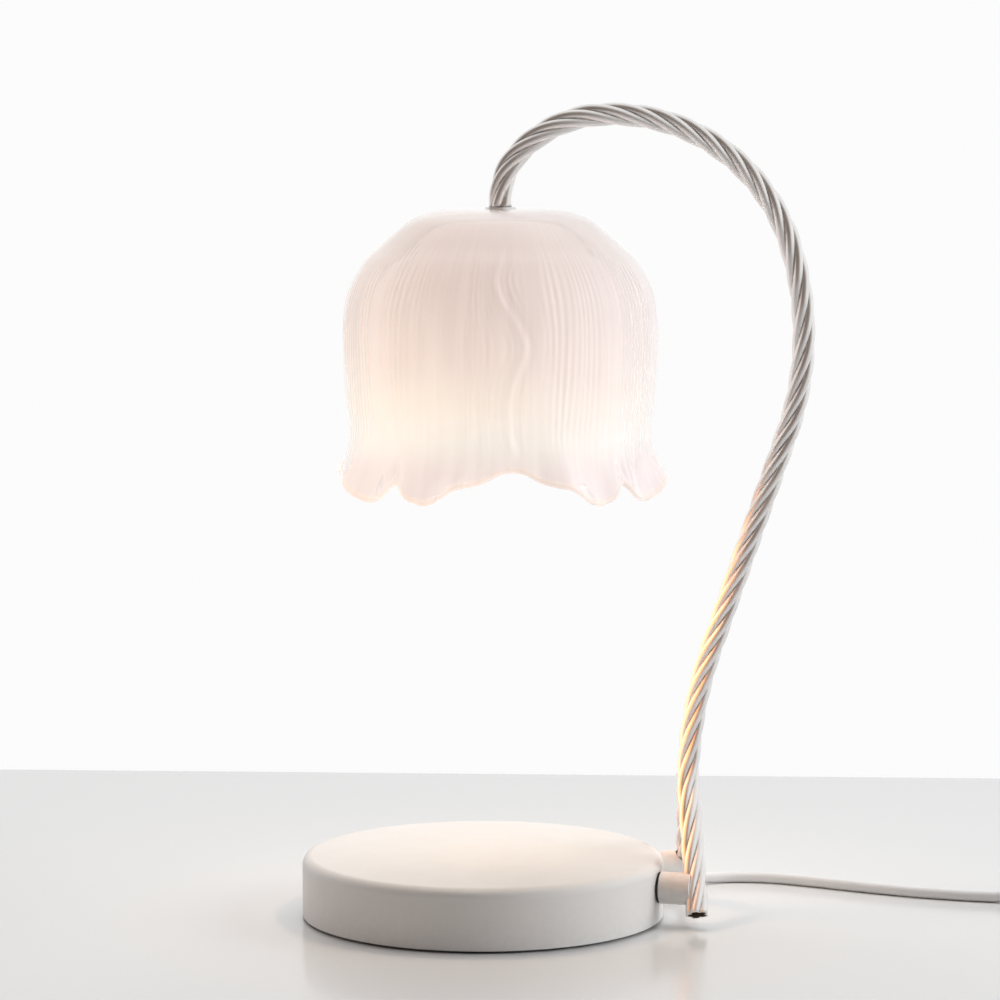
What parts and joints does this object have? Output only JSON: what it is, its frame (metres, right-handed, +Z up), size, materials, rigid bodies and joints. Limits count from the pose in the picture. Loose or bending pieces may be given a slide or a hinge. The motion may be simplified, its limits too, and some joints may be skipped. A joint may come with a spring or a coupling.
{
  "type": "candle warmer lamp",
  "caption": "Candle warmer lamp with a petal-rimmed milk glass shade on a twisted hooked arm above a round weighted base, with a mains lead and in-line dimmer.",
  "frame": {"origin": "centre of the round base at the face that stands on the table", "axes": "+Z up; +X from the base's centre to the foot of the arm; the front that the picture shows is -Y"},
  "size_m": [0.446, 0.15, 0.3365],
  "materials": {
    "white_paint": "satin white powder coat",
    "cast_iron": "as cast",
    "zinc_steel": "bright zinc plate",
    "black_foam": "matt black",
    "natural_nylon": "matt natural nylon",
    "brass_parts": "turned",
    "white_pvc": "soft white",
    "black_rubber": "matt black",
    "clear_wire": "insulated wire",
    "opal_glass": "glossy milk glass",
    "clear_silicone": "translucent silicone",
    "white_ceramic": "glazed",
    "nickel_pins": "nickel plate",
    "coated_glass": "mirror coat inside",
    "clear_glass": "clear",
    "white_plastic": "semi-gloss white",
    "green_board": "solder-mask green",
    "grey_plastic": "matt grey"
  },
  "bodies": {
    "lamp": {"base_shell": "white_paint", "base_weight": "cast_iron", "base_plate": "zinc_steel", "base_pad": "black_foam", "base_screws": "zinc_steel", "terminal_block": "natural_nylon", "terminal_screws": "brass_parts", "lead_relief": "white_pvc", "lead_inner": "white_pvc", "arm_tube": "white_paint", "rear_leg": "white_paint", "stub_front": "white_paint", "stub_rear": "white_paint", "stub_gaskets": "black_rubber", "stub_nipples": "zinc_steel", "stub_washers": "zinc_steel", "stub_nuts": "zinc_steel", "arm_wire": "clear_wire", "shade_collar": "white_paint", "shade_nipple": "zinc_steel", "glass_shade": "opal_glass", "glass_grommet": "clear_silicone", "glass_washer": "zinc_steel", "clamp_nuts": "zinc_steel", "holder_bracket": "zinc_steel", "bulb_holder": "white_ceramic", "holder_screws": "zinc_steel", "holder_contacts": "brass_parts", "lead_lamp_side": "white_pvc", "lead_plug_side": "white_pvc", "lead_coil": "white_pvc", "lead_tail": "white_pvc", "dimmer_bottom": "white_plastic", "dimmer_top": "white_plastic", "dimmer_reliefs": "white_pvc", "dimmer_board": "green_board", "dimmer_control": "grey_plastic", "dimmer_screws": "zinc_steel", "plug_body": "white_pvc", "plug_pins": "nickel_pins"},
    "bulb": {"bulb_base": "white_ceramic", "bulb_pins": "nickel_pins", "bulb_reflector": "coated_glass", "bulb_lens": "clear_glass", "bulb_capsule": "clear_glass"},
    "knob": {"dimmer_knob": "white_plastic", "dimmer_shaft": "grey_plastic"}
  },
  "joints": [
    {"name": "bulb_twist", "type": "hinge", "parent": "lamp", "child": "bulb", "pos_m": [0.0073, 0, 0.24], "axis": [0, 0, 1], "range_deg": [-20, 0]},
    {"name": "dimmer_turn", "type": "hinge", "parent": "lamp", "child": "knob", "pos_m": [0.274, 0.017, 0.02], "axis": [0, 0, 1], "range_deg": [-270, 0]}
  ]
}
